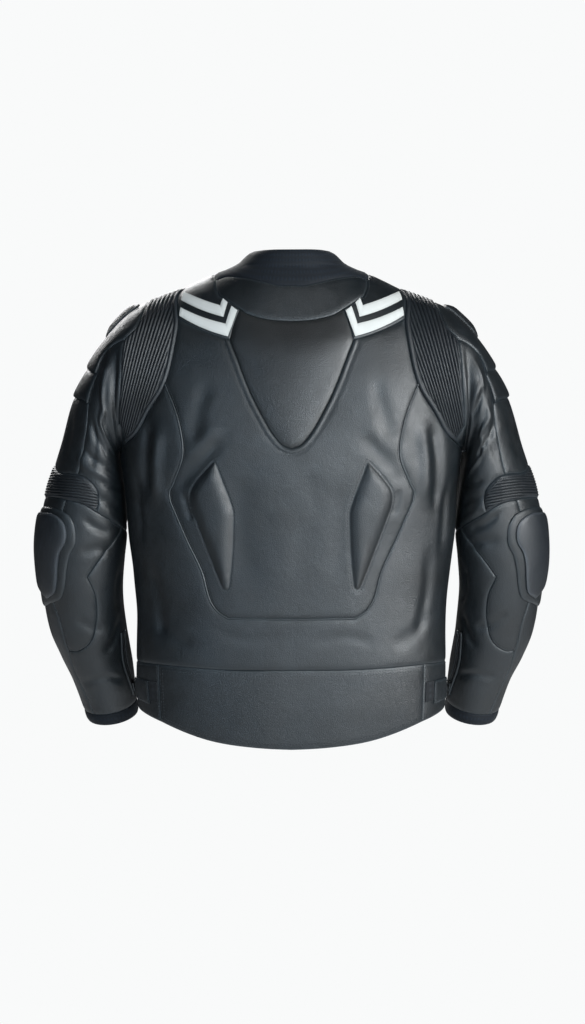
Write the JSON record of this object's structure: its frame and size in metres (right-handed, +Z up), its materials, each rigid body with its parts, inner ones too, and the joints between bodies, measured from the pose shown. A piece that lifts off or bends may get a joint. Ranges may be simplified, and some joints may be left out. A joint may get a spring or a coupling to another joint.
{
  "type": "motorcycle jacket",
  "caption": "Black leather sports motorcycle jacket, filled out with no wearer, with soft stand collar, ribbed stretch panels, elbow and shoulder cups and white shoulder stripes.",
  "frame": {"origin": "middle of the neck opening at the height of the back neck seam, where the wearer's neck and shoulders hold the jacket", "axes": "+X to the wearer's left, +Y out of the back, +Z up; the front faces -Y"},
  "size_m": [0.7188, 0.2591, 0.6889],
  "materials": {
    "black_leather": "soft grained leather with a low sheen",
    "white_leather": "smooth white leather",
    "ribbed_leather": "leather gathered in narrow ribs over stretch cloth",
    "soft_knit": "soft dark blue-black stretch fabric",
    "strap_webbing": "flat woven webbing",
    "zip_tape": "woven tape with coil teeth",
    "moulded_cup": "moulded synthetic leather over a firm cup",
    "dark_metal": "dark plated metal"
  },
  "bodies": {
    "jacket": {"arm_back_L": "black_leather", "arm_back_R": "black_leather", "arm_front_L": "black_leather", "arm_front_R": "black_leather", "back_main": "black_leather", "back_surround": "black_leather", "back_yoke": "black_leather", "cap_low_L": "black_leather", "cap_low_R": "black_leather", "cap_mid_L": "black_leather", "cap_mid_R": "black_leather", "cap_top_L": "moulded_cup", "cap_top_R": "moulded_cup", "collar": "soft_knit", "cuff_L": "soft_knit", "cuff_R": "soft_knit", "elbow_cup_L": "moulded_cup", "elbow_cup_R": "moulded_cup", "elbow_frame_L": "black_leather", "elbow_frame_R": "black_leather", "elbow_rib_L": "ribbed_leather", "elbow_rib_R": "ribbed_leather", "forearm_back_L": "black_leather", "forearm_back_R": "black_leather", "forearm_front_L": "black_leather", "forearm_front_R": "black_leather", "forearm_under_L": "black_leather", "forearm_under_R": "black_leather", "front_L": "black_leather", "front_R": "black_leather", "front_slider": "dark_metal", "front_zip": "zip_tape", "neck_band": "black_leather", "shoulder_L": "black_leather", "shoulder_R": "black_leather", "shoulder_rib_L": "ribbed_leather", "shoulder_rib_R": "ribbed_leather", "sleeve_slider_L": "dark_metal", "sleeve_slider_R": "dark_metal", "sleeve_zip_L": "zip_tape", "sleeve_zip_R": "zip_tape", "strap_L": "black_leather", "strap_R": "black_leather", "strap_loop_L": "strap_webbing", "strap_loop_R": "strap_webbing", "stripe_lower_L": "white_leather", "stripe_lower_R": "white_leather", "stripe_upper_L": "white_leather", "stripe_upper_R": "white_leather", "waist_back": "black_leather", "waist_front_L": "black_leather", "waist_front_R": "black_leather", "waist_side_L": "black_leather", "waist_side_R": "black_leather"},
    "front_tab": {"front_pull_tab": "dark_metal"},
    "sleeve_tab_L": {"sleeve_pull_tab_L": "dark_metal"},
    "sleeve_tab_R": {"sleeve_pull_tab_R": "dark_metal"}
  },
  "joints": [
    {"name": "front_tab_hinge", "type": "hinge", "parent": "jacket", "child": "front_tab", "pos_m": [0, -0.0708, 0.01322], "axis": [-1, 0, 0], "range_deg": [0, 150]},
    {"name": "sleeve_tab_hinge_L", "type": "hinge", "parent": "jacket", "child": "sleeve_tab_L", "pos_m": [0.22147, -0.06275, -0.5683], "axis": [0.2978, 0.8131, -0.5002], "range_deg": [0, 150]},
    {"name": "sleeve_tab_hinge_R", "type": "hinge", "parent": "jacket", "child": "sleeve_tab_R", "pos_m": [-0.22147, -0.06275, -0.5683], "axis": [0.2978, -0.8131, 0.5002], "range_deg": [0, 150]}
  ]
}
